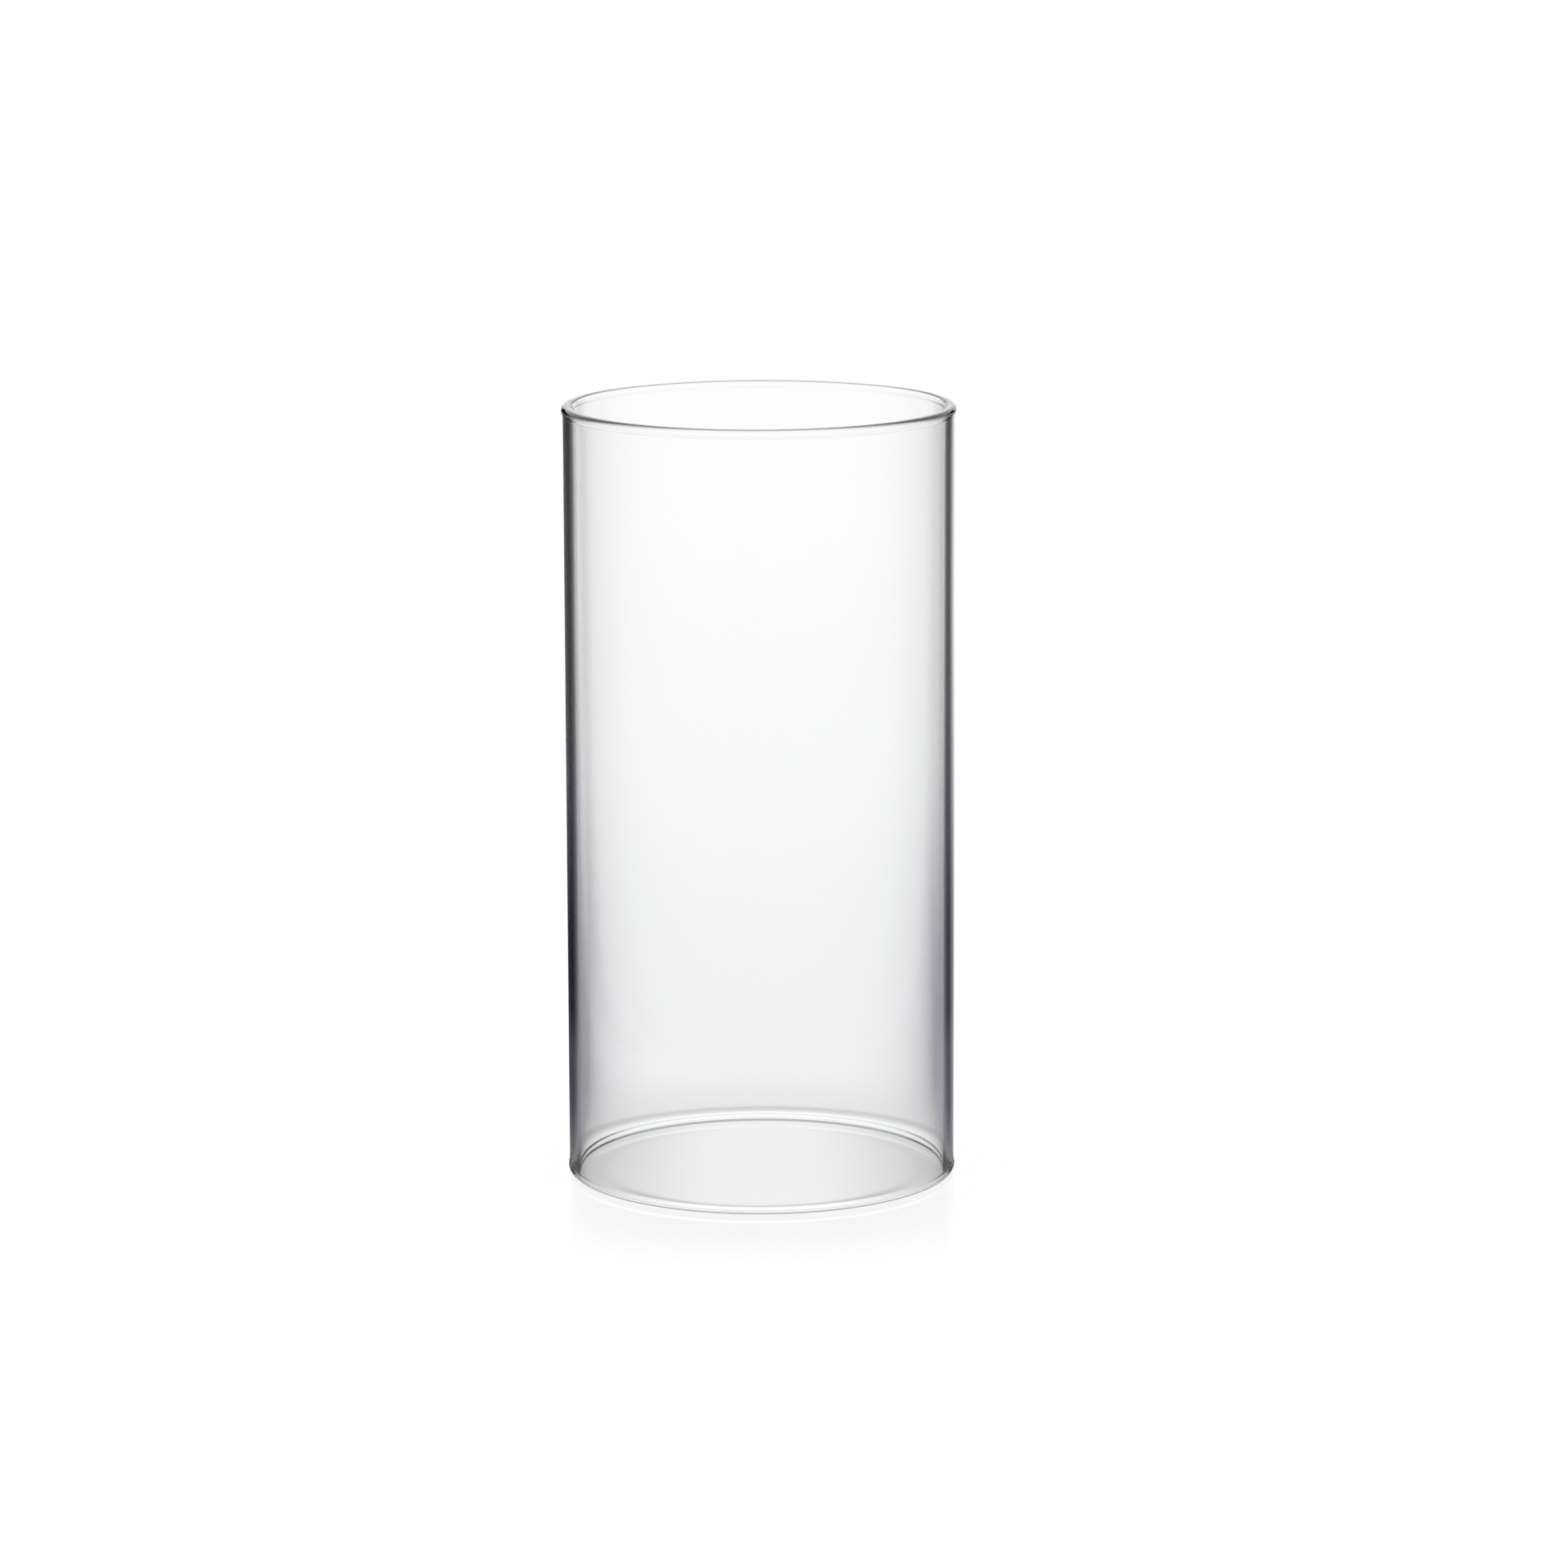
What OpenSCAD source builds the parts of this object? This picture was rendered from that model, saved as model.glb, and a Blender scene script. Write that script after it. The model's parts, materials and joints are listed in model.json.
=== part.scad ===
// Open glass cylinder: a length of clear drawn tube, open at both ends,
// with both cut ends fire-polished into a rounded, slightly swollen rim.
// It stands upright on its bottom rim. Millimetres, +Z up. The origin is on
// the tube's axis, in the plane that the bottom rim stands on.

/* [Body] */
// Outside diameter of the straight wall
outer_d = 100; // [75:1:150]
// Overall height, rim to rim
height = 200; // [100:5:300]
// Thickness of the straight wall
wall = 2.5; // [2:0.1:4]

/* [Rims] */
// How far the top rim swells out past the wall
top_swell = 0.4; // [0.1:0.05:0.8]
// How far the bottom rim swells out past the wall
bottom_swell = 0.25; // [0.1:0.05:0.8]
// Radius of the hollow neck that runs from the wall into a rim
neck_r = 1.8; // [1:0.1:4]

/* [Glass] */
// Shading of the glass: 0 is invisible, 1 is solid
glass_alpha = 0.45; // [0.2:0.05:1]

/* [Hidden] */
$fn = 160;
// Straight steps in each arc of a rim's section
arc_steps = 10;

outer_r = outer_d / 2;
inner_r = outer_r - wall;

// The rim's outer edge is half as round as the wall is thick. Its inner edge
// is a little tighter, which leaves a narrow flat land on the crest.
bead_r = wall * 0.5;
inner_edge_r = wall * 0.36;

// Height from the neck's lower end to the centre of the rim's outer edge
function neck_rise(swell) = sqrt(swell * (2 * (bead_r + neck_r) - swell));

// Height of a whole rim, from the neck's end on the wall to the crest
function rim_h(swell) = neck_rise(swell) + bead_r;

// Points along an arc, from just after its start angle to its end angle
function arc(centre, radius, start_a, end_a) = [
    for (i = [1:arc_steps])
        let (a = start_a + (end_a - start_a) * i / arc_steps)
            centre + radius * [cos(a), sin(a)]
];

// Half section of a rim: x is the radius, y the height above the neck's end.
// The inner side stays straight, so the bore runs clean through. Outside, the
// bead's arc turns into the neck's on the line between their centres.
module rim_section(swell) {
    crest = rim_h(swell);
    inner_edge = [inner_r + inner_edge_r, crest - inner_edge_r];
    bead = [outer_r + swell - bead_r, crest - bead_r];
    neck = [outer_r + neck_r, 0];
    meet_a = atan2(bead[1] - neck[1], neck[0] - bead[0]);
    polygon(concat(
        [[inner_r, 0], [inner_r, inner_edge[1]]],
        arc(inner_edge, inner_edge_r, 180, 90),
        [[bead[0], crest]],
        arc(bead, bead_r, 90, -meet_a),
        arc(neck, neck_r, 180 - meet_a, 180)
    ));
}

module glass() {
    color([0.86, 0.88, 0.9], glass_alpha)
        children();
}

// The straight, drawn length of the tube between the two rims
module tube_wall() {
    bottom_h = rim_h(bottom_swell);
    straight_h = height - bottom_h - rim_h(top_swell);
    glass()
        translate([0, 0, bottom_h])
            rotate_extrude()
                translate([inner_r, 0])
                    square([wall, straight_h]);
}

// The fire-polished rim around the mouth
module top_rim() {
    glass()
        translate([0, 0, height - rim_h(top_swell)])
            rotate_extrude()
                rim_section(top_swell);
}

// The fire-polished rim that the cylinder stands on
module bottom_rim() {
    glass()
        translate([0, 0, rim_h(bottom_swell)])
            mirror([0, 0, 1])
                rotate_extrude()
                    rim_section(bottom_swell);
}

bottom_rim();
tube_wall();
top_rim();
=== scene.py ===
import json
import math

import bmesh
import bpy
from mathutils import Matrix, Vector


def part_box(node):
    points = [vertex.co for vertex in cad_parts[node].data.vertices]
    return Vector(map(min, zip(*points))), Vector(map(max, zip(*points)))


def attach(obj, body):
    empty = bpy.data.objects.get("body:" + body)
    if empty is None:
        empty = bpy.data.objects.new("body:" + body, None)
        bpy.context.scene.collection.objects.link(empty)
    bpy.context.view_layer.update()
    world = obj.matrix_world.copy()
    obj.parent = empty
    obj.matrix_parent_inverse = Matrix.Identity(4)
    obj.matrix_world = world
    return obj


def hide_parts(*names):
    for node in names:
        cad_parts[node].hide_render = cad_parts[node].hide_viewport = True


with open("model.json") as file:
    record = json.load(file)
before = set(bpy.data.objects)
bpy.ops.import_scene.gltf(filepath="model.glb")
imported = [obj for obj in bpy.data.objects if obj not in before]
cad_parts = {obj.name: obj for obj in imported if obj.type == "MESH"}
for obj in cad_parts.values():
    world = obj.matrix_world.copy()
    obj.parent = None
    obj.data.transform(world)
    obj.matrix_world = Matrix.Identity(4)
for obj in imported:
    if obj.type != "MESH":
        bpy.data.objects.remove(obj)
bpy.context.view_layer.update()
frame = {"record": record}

MM = 0.001
WHITE = (1.0, 1.0, 1.0, 1.0)

# Turned glass
SEGMENTS = 384
ARC_STEPS = 14
WALL_STEPS = 20
# A rim's outer bead and its inner edge, as shares of the wall's thickness
BEAD_ROUND = 0.5
INNER_ROUND = 0.36

# Glass finish, and the painted shade on the top rim's crest
GLASS_IOR = 1.473
GLASS_CLEAR = (1.0, 1.0, 1.0, 1.0)
GLASS_FAINT = (0.992, 0.998, 0.996, 1.0)
SMOOTH = 0.0
SMUDGED = 0.012
# Noise: its fineness along x, y and z, its detail, and the levels between which polish is lost
CLOUDS = (22.0, 22.0, 14.0)
CLOUD_DETAIL = 3.0
CLOUD_LEVELS = (0.45, 0.75)
DRAW_LINES = (70.0, 70.0, 2.0)
DRAW_DETAIL = 1.0
WAVE_HEIGHT = 0.000001
# The crest's painted shade, a grey put into the glass's colour, stands in for dark surroundings, and
# starts and is full at these depths
CREST_PAINTED_SHADE = (0.28, 0.29, 0.30, 1.0)
CREST_DEPTHS = (0.35 * MM, 0.1 * MM)

# Depths that part rays: any, two walls passed, and many reflections
ANY_DEPTH = 0.5
TWO_WALLS = 3.5
MANY_BOUNCES = 5.5

# White seen directly, through two walls and through one
CAMERA_WHITE = 1.02
BACKDROP = 1.10
BACKDROP_ONCE = 1.03

# The dark room that the glass reflects, and the white sweep that ends in it
DARK = 0.012
DARK_FAR = 0.018
DARK_FOOT = 0.05
SWEEP_LEFT = math.radians(9)
SWEEP_RIGHT = math.radians(17)
SWEEP_FADE = math.radians(6)
FLOOR_EDGE = (math.radians(6), math.radians(23))
EDGE_NEAR = 0.35
EDGE_FAR = 1.0
PANEL_START = (math.radians(28), math.radians(37))
PANEL_END = (math.radians(45), math.radians(60))
PANEL_NEAR = 0.2
PANEL_FAR = 0.31
OVERHEAD = 1.05
OVERHEAD_FROM = (0.15, 0.2)
OVERHEAD_INSIDE = 0.15
TRAPPED = 1.0
TRAPPED_AWAY = 0.3

# Tones of the world that the rims bend into view, and the heights where they change
RIM_DARK = 0.15
FOOT_LINE = 0.5
LINE_ONCE = (0.2, 0.3)
LINE_TWICE = (0.08, 0.24)
LINE_HIGH = (0.42, 0.6)
LINE_LIGHT = 0.6

# The shadow that the wall casts behind the glass
SHADOW_SPREAD = 0.17
SHADOW_POWER = 4.0
SHADOW_END = (1.3, 2.0)
SHADOW_SIDE = 0.6
SHADOW_REACH = (0.13, 0.6)
# Rings of shade and light round the foot: radius, width, depth behind, depth in front
FOOT_RINGS = (
    (0.0415, 0.003, 0.05, 0.30),
    (0.0450, 0.0025, 0.0, -0.16),
    (0.0560, 0.005, -0.25, -0.12),
    (0.0630, 0.004, 0.2, 0.2),
)
# Painted shade on the floor within the foot, from its middle out to each side
WITHIN_FOOT_SHADE = (1.01, 0.74)
# Distances from the middle, then the brightness at each end: painted shade near the foot, and a little
# more light far out
NEAR_FOOT_SHADE = (0.05, 0.7, 0.93, 1.0)
FAR_GROUND = (0.6, 1.2, 1.0, 1.03)
FLOOR_GLOSS = 0.12
# Shares of the radius: where the painted shade on the floor within the foot starts, and each ring's front
# and back
WITHIN_FROM = 0.2
RING_FRONT = -0.8
RING_BACK = -0.4
# Distances from the middle between which each tone of the floor changes
FAR_FLOOR = (0.2, 1.0)
DARK_NEAR_REACH = (0.15, 0.21)
DARK_FAR_REACH = (0.28, 0.5)
TRAPPED_NEAR = (0.0505, 0.053)
TRAPPED_FAR = (0.25, 0.6)
BLUE_FROM = (0.053, 0.06)
BLUE_TO = (0.3, 0.9)
GLOSS_REACH = (0.055, 0.115)
FLOOR_RADIUS = 6.0
FLOOR_SEGMENTS = 96

TEAL = (0.88, 1.0, 1.0, 1.0)
COOL = (0.97, 0.96, 1.03, 1.0)
COOLER = (0.98, 0.95, 1.15, 1.0)

# Camera fitted to the photograph's outline of the glass
CAMERA_DISTANCE = 1.542
CAMERA_HEIGHT = 0.4017
CAMERA_YAW = math.radians(0.227)
CAMERA_PITCH = math.radians(11.021)
CAMERA_ROLL = math.radians(-0.172)
SENSOR_WIDTH = 36.0
LENS = 139.88
CLIP_END = 50.0

MAX_BOUNCES = 40
GLOSSY_BOUNCES = 32
TRANSMISSION_BOUNCES = 24


def mount(name):
    return next(m for m in frame["record"]["mounts"] if m["name"] == name)


def width(node):
    low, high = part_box(node)
    return high.x - low.x


def arc(centre, radius, start, end, steps=ARC_STEPS):
    """Points along an arc in the (radius, height) plane, from start to end degrees."""
    points = []
    for step in range(steps + 1):
        angle = math.radians(start + (end - start) * step / steps)
        points.append((centre[0] + radius * math.cos(angle),
                       centre[1] + radius * math.sin(angle)))
    return points


def rim_outline(inner_r, outer_r, rim_r, height):
    """A rim's section from the inner wall over the crest to the outer wall, with z = 0 at its neck."""
    wall = outer_r - inner_r
    bead_r = wall * BEAD_ROUND
    edge_r = wall * INNER_ROUND
    bead = (rim_r - bead_r, height - bead_r)
    edge = (inner_r + edge_r, height - edge_r)
    # the neck's arc touches both the bead and the outer wall
    swell = rim_r - outer_r
    sum_r = (swell ** 2 + bead[1] ** 2) / (2 * swell)
    neck_r = sum_r - bead_r
    meet = math.degrees(math.atan2(bead[1], sum_r - swell))
    neck = (outer_r + neck_r, 0.0)
    outline = [(inner_r, 0.0)]
    outline += arc(edge, edge_r, 180, 90)
    outline += arc(bead, bead_r, 90, -meet, 2 * ARC_STEPS)
    outline += arc(neck, neck_r, 180 - meet, 180)[1:]
    return outline


def glass_outline(inner_r, outer_r):
    """The whole section: up the inner wall, over the top rim, down outside and round the foot."""
    top_low, top_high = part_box("top_rim")
    foot_low, foot_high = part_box("bottom_rim")
    top = rim_outline(inner_r, outer_r, width("top_rim") / 2, top_high.z - top_low.z)
    foot = rim_outline(inner_r, outer_r, width("bottom_rim") / 2, foot_high.z - foot_low.z)
    step = (top_low.z - foot_high.z) / WALL_STEPS
    wall_z = [foot_high.z + step * k for k in range(1, WALL_STEPS)]
    outline = [(inner_r, z) for z in wall_z]
    outline += [(r, top_low.z + z) for r, z in top]
    outline += [(outer_r, z) for z in reversed(wall_z)]
    outline += [(r, foot_high.z - z) for r, z in reversed(foot)]
    return outline


def lathe(name, outline):
    """A closed mesh: the outline turned about Z."""
    mesh = bmesh.new()
    rings = []
    for radius, z in outline:
        ring = []
        for k in range(SEGMENTS):
            angle = 2 * math.pi * k / SEGMENTS
            ring.append(mesh.verts.new((radius * math.cos(angle), radius * math.sin(angle), z)))
        rings.append(ring)
    for low, high in zip(rings, rings[1:] + rings[:1]):
        for k in range(SEGMENTS):
            after = (k + 1) % SEGMENTS
            mesh.faces.new((low[k], high[k], high[after], low[after]))
    bmesh.ops.recalc_face_normals(mesh, faces=mesh.faces)
    for face in mesh.faces:
        face.smooth = True
    return piece_from(name, mesh)


def piece_from(name, mesh):
    data = bpy.data.meshes.new(name)
    mesh.to_mesh(data)
    mesh.free()
    piece = bpy.data.objects.new(name, data)
    bpy.context.scene.collection.objects.link(piece)
    return piece


class Nodes:
    """Short ways to add shader nodes to one tree."""

    def __init__(self, owner):
        owner.use_nodes = True
        self.tree = owner.node_tree
        self.tree.nodes.clear()

    def add(self, kind, **settings):
        node = self.tree.nodes.new(kind)
        for name, value in settings.items():
            setattr(node, name, value)
        return node

    def wire(self, value, socket):
        if hasattr(value, "is_output"):
            self.tree.links.new(value, socket)
        else:
            socket.default_value = value

    def math(self, operation, *values):
        node = self.add("ShaderNodeMath", operation=operation)
        for value, socket in zip(values, node.inputs):
            self.wire(value, socket)
        return node.outputs[0]

    def product(self, first, *others):
        for other in others:
            first = self.math("MULTIPLY", first, other)
        return first

    def total(self, first, *others):
        for other in others:
            first = self.math("ADD", first, other)
        return first

    def above(self, value, limit):
        return self.math("GREATER_THAN", value, limit)

    def choose(self, share, off, on):
        """off where share is 0, on where it is 1."""
        node = self.add("ShaderNodeMix", data_type="FLOAT")
        self.wire(share, node.inputs[0])
        self.wire(off, node.inputs[2])
        self.wire(on, node.inputs[3])
        return node.outputs[0]

    def tint(self, share, off, on):
        """The colour off where share is 0, on where it is 1."""
        node = self.add("ShaderNodeMix", data_type="RGBA")
        self.wire(share, node.inputs[0])
        self.wire(off, node.inputs[6])
        self.wire(on, node.inputs[7])
        return node.outputs[2]

    def split(self, vector):
        node = self.add("ShaderNodeSeparateXYZ")
        self.wire(vector, node.inputs[0])
        return node.outputs

    def length(self, vector):
        node = self.add("ShaderNodeVectorMath", operation="LENGTH")
        self.wire(vector, node.inputs[0])
        return node.outputs["Value"]

    def ramp(self, value, low, high, start=0.0, end=1.0):
        """Smooth step of value from low to high, giving start to end."""
        node = self.add("ShaderNodeMapRange", interpolation_type="SMOOTHSTEP")
        for number, item in enumerate((value, low, high, start, end)):
            self.wire(item, node.inputs[number])
        return node.outputs[0]

    def noise(self, place, stretch, detail):
        """Noise between 0 and 1, with stretch as its fineness along x, y and z."""
        scaled = self.add("ShaderNodeVectorMath", operation="MULTIPLY")
        self.wire(place, scaled.inputs[0])
        self.wire(stretch, scaled.inputs[1])
        cloud = self.add("ShaderNodeTexNoise")
        self.wire(scaled.outputs[0], cloud.inputs["Vector"])
        self.wire(1.0, cloud.inputs["Scale"])
        self.wire(detail, cloud.inputs["Detail"])
        return cloud.outputs["Fac"]


def glass_material(rim_z):
    """Clear glass with faint draw lines and uneven polish, and painted shade, a grey in its colour, on
    the top rim's crest.
    """
    material = bpy.data.materials.new("clear_glass")
    nodes = Nodes(material)
    out = nodes.add("ShaderNodeOutputMaterial")
    glass = nodes.add("ShaderNodeBsdfPrincipled")
    place = nodes.add("ShaderNodeTexCoord").outputs["Object"]
    cloudy = nodes.noise(place, CLOUDS, CLOUD_DETAIL)
    drawn = nodes.noise(place, DRAW_LINES, DRAW_DETAIL)
    bump = nodes.add("ShaderNodeBump")
    nodes.wire(1.0, bump.inputs["Strength"])
    nodes.wire(WAVE_HEIGHT, bump.inputs["Distance"])
    nodes.wire(drawn, bump.inputs["Height"])
    _, _, z = nodes.split(place)
    # painted shade: the top rim's crest is darkened to grey in the glass's colour
    crest = nodes.ramp(z, *(rim_z - depth for depth in CREST_DEPTHS))
    colour = nodes.tint(cloudy, GLASS_FAINT, GLASS_CLEAR)
    nodes.wire(nodes.tint(crest, colour, CREST_PAINTED_SHADE), glass.inputs["Base Color"])
    nodes.wire(nodes.ramp(cloudy, *CLOUD_LEVELS, SMOOTH, SMUDGED), glass.inputs["Roughness"])
    nodes.wire(bump.outputs[0], glass.inputs["Normal"])
    nodes.wire(1.0, glass.inputs["Transmission Weight"])
    nodes.wire(GLASS_IOR, glass.inputs["IOR"])
    nodes.wire(glass.outputs[0], out.inputs["Surface"])
    return material


def crossed_twice(nodes, path):
    """1 for a ray that has passed through two walls of the glass."""
    return nodes.above(path.outputs["Transmission Depth"], TWO_WALLS)


def white_light(nodes, path):
    """What a ray sees that has only been refracted."""
    return nodes.choose(crossed_twice(nodes, path), BACKDROP_ONCE, BACKDROP)


def by_path(nodes, path, camera_ray, refracted, reflected, trapped):
    """Choose a brightness by how the ray came here."""
    glossy = path.outputs["Glossy Depth"]
    seen = nodes.choose(path.outputs["Is Camera Ray"], refracted, camera_ray)
    seen = nodes.choose(nodes.above(glossy, ANY_DEPTH), seen, reflected)
    return nodes.choose(nodes.above(glossy, MANY_BOUNCES), seen, trapped)


def side_panel(nodes, bearing):
    """1 where the pale panel stands, beside the sweep."""
    return nodes.product(nodes.ramp(bearing, *PANEL_START), nodes.ramp(bearing, *PANEL_END, 1.0, 0.0))


def studio_world():
    world = bpy.data.worlds.new("studio")
    world.cycles.sampling_method = "NONE"
    bpy.context.scene.world = world
    nodes = Nodes(world)
    out = nodes.add("ShaderNodeOutputWorld")
    background = nodes.add("ShaderNodeBackground")
    path = nodes.add("ShaderNodeLightPath")
    x, y, height = nodes.split(nodes.add("ShaderNodeTexCoord").outputs["Generated"])
    high = nodes.ramp(height, *LINE_HIGH)
    line_once = nodes.ramp(height, *LINE_ONCE, 1.0, RIM_DARK)
    line_twice = nodes.ramp(height, *LINE_TWICE, 1.0, FOOT_LINE)
    line = nodes.choose(crossed_twice(nodes, path), line_once, line_twice)
    refracted = nodes.product(white_light(nodes, path), nodes.choose(high, line, LINE_LIGHT))
    # reflected rays see the sweep ahead, dark beside it, and the light overhead
    bearing = nodes.math("ARCTAN2", nodes.math("ABSOLUTE", x), y)
    edge = nodes.choose(nodes.above(x, 0.0), SWEEP_LEFT, SWEEP_RIGHT)
    ahead = nodes.ramp(bearing, edge, nodes.total(edge, SWEEP_FADE), BACKDROP, DARK)
    ahead = nodes.total(ahead, nodes.product(side_panel(nodes, bearing), PANEL_FAR))
    inside = nodes.above(path.outputs["Transmission Depth"], ANY_DEPTH)
    overhead = nodes.choose(inside, OVERHEAD, OVERHEAD_INSIDE)
    reflected = nodes.choose(nodes.ramp(height, *OVERHEAD_FROM), ahead, overhead)
    seen = by_path(nodes, path, BACKDROP, refracted, reflected, TRAPPED)
    nodes.wire(seen, background.inputs["Strength"])
    nodes.wire(nodes.tint(high, WHITE, TEAL), background.inputs["Color"])
    nodes.wire(background.outputs[0], out.inputs["Surface"])


def wall_shadow(nodes, y, out_x, rho, outer_r):
    """The wall's shadow behind the glass, denser to its sides, where light crosses the wall aslant."""
    half = nodes.total(nodes.product(y, SHADOW_SPREAD), outer_r)
    share = nodes.math("DIVIDE", out_x, half)
    side = nodes.math("MINIMUM", nodes.math("POWER", share, SHADOW_POWER), 1.0)
    side = nodes.product(side, nodes.ramp(share, *SHADOW_END, 1.0, 0.0))
    behind = nodes.product(nodes.above(rho, outer_r), nodes.ramp(y, 0.0, 2 * outer_r))
    return nodes.product(side, behind, nodes.ramp(rho, *SHADOW_REACH, 1.0, 0.0))


def painted_ground_shade(nodes, out_x, rho, outer_r):
    """Painted shade on the floor: within the foot darker towards each side, beyond it darker near the
    foot and a little lighter far out.
    """
    within = nodes.ramp(out_x, WITHIN_FROM * outer_r, outer_r, *WITHIN_FOOT_SHADE)
    beyond = nodes.product(nodes.ramp(rho, *NEAR_FOOT_SHADE), nodes.ramp(rho, *FAR_GROUND))
    return nodes.choose(nodes.above(rho, outer_r), within, beyond)


def foot_rings(nodes, light, y, rho):
    """The light with the rings round the foot in it."""
    for radius, reach, back, front in FOOT_RINGS:
        off = nodes.math("ABSOLUTE", nodes.math("SUBTRACT", rho, radius))
        level = nodes.ramp(y, RING_FRONT * radius, RING_BACK * radius, 1.0 - front, 1.0 - back)
        light = nodes.product(light, nodes.ramp(off, 0.0, reach, level, 1.0))
    return light


def reflected_floor(nodes, x, y, out_x, rho, outer_r):
    """A dark room, a pale panel on each side, and on the right the sweep's edge."""
    far = nodes.ramp(rho, *FAR_FLOOR)
    bearing = nodes.math("ARCTAN2", nodes.math("MAXIMUM", nodes.math("SUBTRACT", out_x, outer_r), 0.0), y)
    panel = nodes.product(side_panel(nodes, bearing), nodes.choose(far, PANEL_NEAR, PANEL_FAR))
    edge = nodes.ramp(bearing, *FLOOR_EDGE, nodes.choose(far, EDGE_NEAR, EDGE_FAR), 0.0)
    edge = nodes.product(edge, nodes.ramp(x, 0.0, outer_r))
    near_dark = nodes.ramp(rho, *DARK_NEAR_REACH, DARK_FOOT, DARK)
    far_dark = nodes.ramp(rho, *DARK_FAR_REACH, 0.0, DARK_FAR)
    return nodes.total(near_dark, far_dark, panel, edge)


def trapped_floor(nodes, rho):
    """What a ray sees that the glass has reflected many times."""
    near = nodes.ramp(rho, *TRAPPED_NEAR, TRAPPED, TRAPPED_AWAY)
    return nodes.total(near, nodes.ramp(rho, *TRAPPED_FAR, 0.0, TRAPPED - TRAPPED_AWAY))


def floor_colour(nodes, path, shaded, rho):
    """Cool in the shadow seen through the glass, and bluer in what the glass reflects."""
    bluish = nodes.product(nodes.ramp(rho, *BLUE_FROM), nodes.ramp(rho, *BLUE_TO, 1.0, 0.0))
    through = nodes.math("SUBTRACT", 1.0, path.outputs["Is Camera Ray"])
    cool = nodes.tint(nodes.product(shaded, through), WHITE, COOL)
    cooler = nodes.tint(bluish, WHITE, COOLER)
    return nodes.tint(nodes.above(path.outputs["Glossy Depth"], ANY_DEPTH), cool, cooler)


def floor_material(outer_r):
    """White floor that glows by place and by how a ray came, with some gloss near the foot."""
    material = bpy.data.materials.new("studio_floor")
    material.cycles.emission_sampling = "NONE"
    nodes = Nodes(material)
    out = nodes.add("ShaderNodeOutputMaterial")
    glow = nodes.add("ShaderNodeEmission")
    gloss = nodes.add("ShaderNodeBsdfGlossy")
    nodes.wire(0.0, gloss.inputs["Roughness"])
    mix = nodes.add("ShaderNodeMixShader")
    path = nodes.add("ShaderNodeLightPath")
    place = nodes.add("ShaderNodeNewGeometry").outputs["Position"]
    x, y, _ = nodes.split(place)
    out_x = nodes.math("ABSOLUTE", x)
    rho = nodes.length(place)
    shaded = wall_shadow(nodes, y, out_x, rho, outer_r)
    shadow = nodes.choose(shaded, 1.0, SHADOW_SIDE)
    # the floor seen through the glass, with its painted shadow and painted shade
    light = nodes.product(white_light(nodes, path), shadow, painted_ground_shade(nodes, out_x, rho, outer_r))
    refracted = foot_rings(nodes, light, y, rho)
    reflected = reflected_floor(nodes, x, y, out_x, rho, outer_r)
    seen = by_path(nodes, path, CAMERA_WHITE, refracted, reflected, trapped_floor(nodes, rho))
    nodes.wire(seen, glow.inputs["Strength"])
    nodes.wire(floor_colour(nodes, path, shaded, rho), glow.inputs["Color"])
    nodes.wire(nodes.ramp(rho, *GLOSS_REACH, FLOOR_GLOSS, 0.0), mix.inputs[0])
    nodes.wire(glow.outputs[0], mix.inputs[1])
    nodes.wire(gloss.outputs[0], mix.inputs[2])
    nodes.wire(mix.outputs[0], out.inputs["Surface"])
    return material


def studio_floor(material):
    mesh = bmesh.new()
    bmesh.ops.create_circle(mesh, cap_ends=True, radius=FLOOR_RADIUS, segments=FLOOR_SEGMENTS)
    floor = piece_from("studio_floor", mesh)
    floor.data.materials.append(material)


def camera():
    data = bpy.data.cameras.new("camera")
    data.sensor_width = SENSOR_WIDTH
    data.lens = LENS
    data.clip_end = CLIP_END
    view = bpy.data.objects.new("camera", data)
    bpy.context.scene.collection.objects.link(view)
    level_run = math.cos(CAMERA_PITCH)
    ahead = Vector((math.sin(CAMERA_YAW) * level_run, math.cos(CAMERA_YAW) * level_run,
                    -math.sin(CAMERA_PITCH)))
    level = Vector((math.cos(CAMERA_YAW), -math.sin(CAMERA_YAW), 0.0))
    up = level.cross(ahead)
    right = math.cos(CAMERA_ROLL) * level + math.sin(CAMERA_ROLL) * up
    up = math.cos(CAMERA_ROLL) * up - math.sin(CAMERA_ROLL) * level
    turn = Matrix((right, up, -ahead)).transposed().to_4x4()
    view.matrix_world = Matrix.Translation((0.0, -CAMERA_DISTANCE, CAMERA_HEIGHT)) @ turn
    bpy.context.scene.camera = view


def glass_cylinder(inner_r, outer_r):
    glass = lathe("glass_cylinder", glass_outline(inner_r, outer_r))
    glass.data.materials.append(glass_material(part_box("top_rim")[1].z))
    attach(glass, "root")
    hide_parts("bottom_rim", "tube_wall", "top_rim")


bore_r = mount("bore")["dims"]["r_mm"] * MM
wall_r = width("tube_wall") / 2
camera()
glass_cylinder(bore_r, wall_r)
studio_floor(floor_material(wall_r))
studio_world()
scene = bpy.context.scene
scene.view_settings.view_transform = "Standard"
scene.cycles.max_bounces = MAX_BOUNCES
scene.cycles.glossy_bounces = GLOSSY_BOUNCES
scene.cycles.transmission_bounces = TRANSMISSION_BOUNCES
